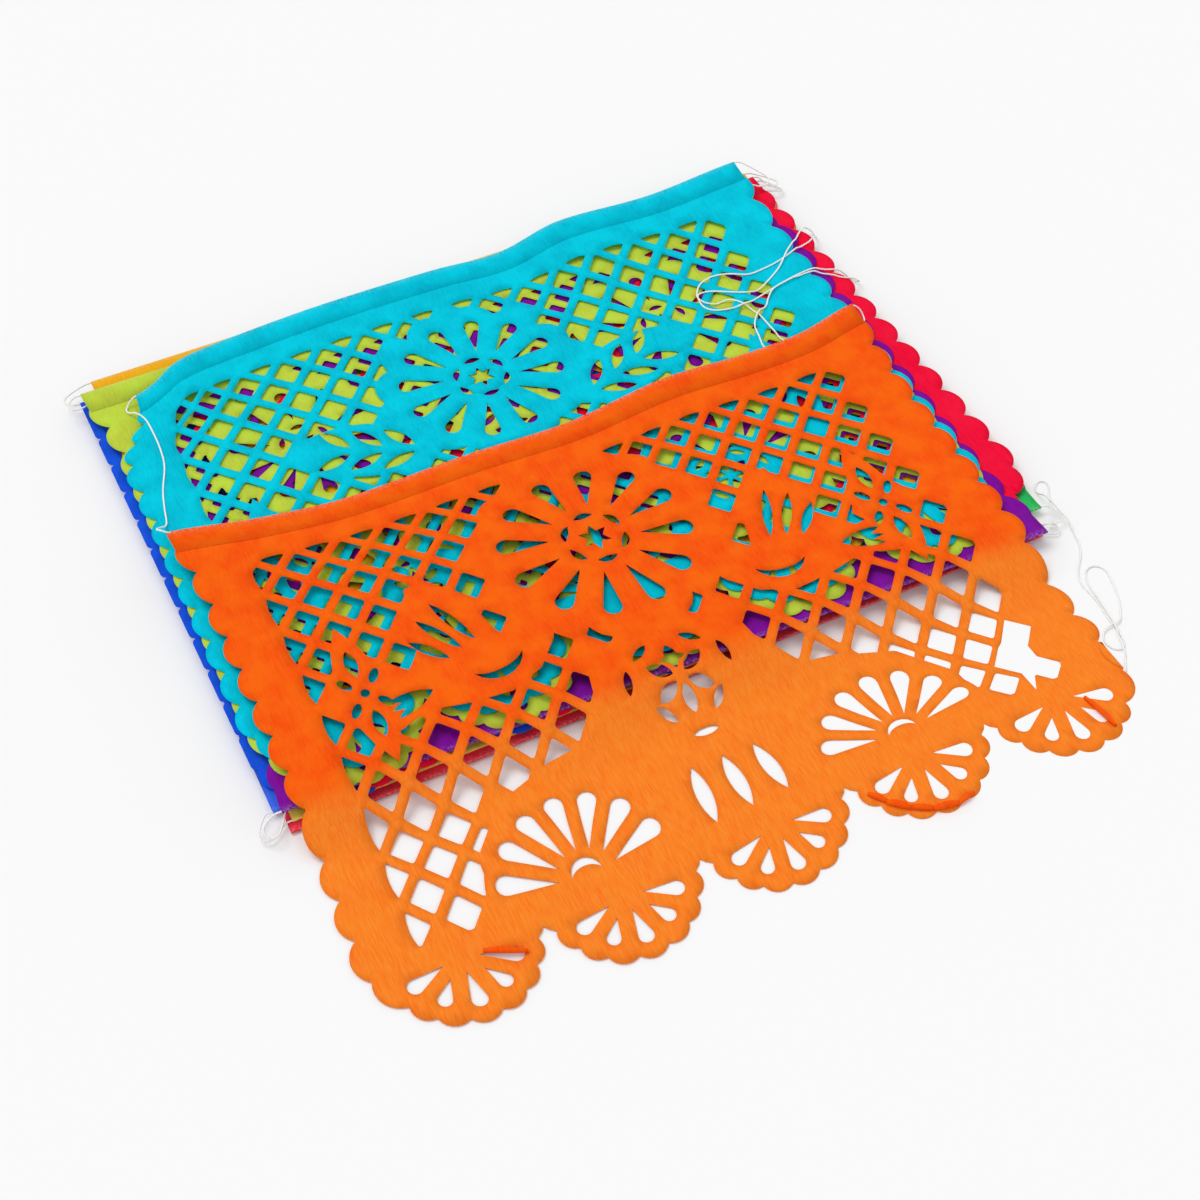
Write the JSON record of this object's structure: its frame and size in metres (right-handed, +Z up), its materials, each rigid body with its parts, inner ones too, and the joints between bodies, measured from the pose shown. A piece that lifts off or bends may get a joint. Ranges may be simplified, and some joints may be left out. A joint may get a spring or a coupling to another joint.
{
  "type": "papel picado banner",
  "caption": "Stack of cut tissue-paper banner panels with scalloped tabs and lattice, hemmed over cotton string and laid flat, the top one pulled forward.",
  "frame": {"origin": "middle of the stack's footprint, without the string, on the table that it lies on", "axes": "+Z up, +Y towards the hems at the back, +X to the right along the hems"},
  "size_m": [0.5223, 0.5128, 0.0212],
  "materials": {
    "tissue_salmon": "salmon-red translucent tissue, matt",
    "tissue_rose": "rose-red translucent tissue, matt",
    "tissue_yellow": "yellow translucent tissue, matt",
    "tissue_cobalt": "cobalt translucent tissue, matt",
    "tissue_green": "green translucent tissue, matt",
    "tissue_blue": "dark blue translucent tissue, matt",
    "tissue_gold": "gold translucent tissue, matt",
    "tissue_crimson": "crimson translucent tissue, matt",
    "tissue_purple": "purple translucent tissue, matt",
    "tissue_lime": "lime translucent tissue, matt",
    "tissue_turquoise": "turquoise translucent tissue, matt",
    "tissue_orange": "orange translucent tissue, matt",
    "cotton": "matt white twisted cotton"
  },
  "bodies": {
    "root": {"panel_salmon": "tissue_salmon", "panel_rose": "tissue_rose", "panel_yellow": "tissue_yellow", "panel_cobalt": "tissue_cobalt", "panel_green": "tissue_green", "panel_blue": "tissue_blue", "panel_gold": "tissue_gold", "panel_crimson": "tissue_crimson", "panel_purple": "tissue_purple", "panel_lime": "tissue_lime", "panel_turquoise": "tissue_turquoise", "panel_orange": "tissue_orange", "string_back": "cotton", "string_front": "cotton"}
  },
  "joints": []
}
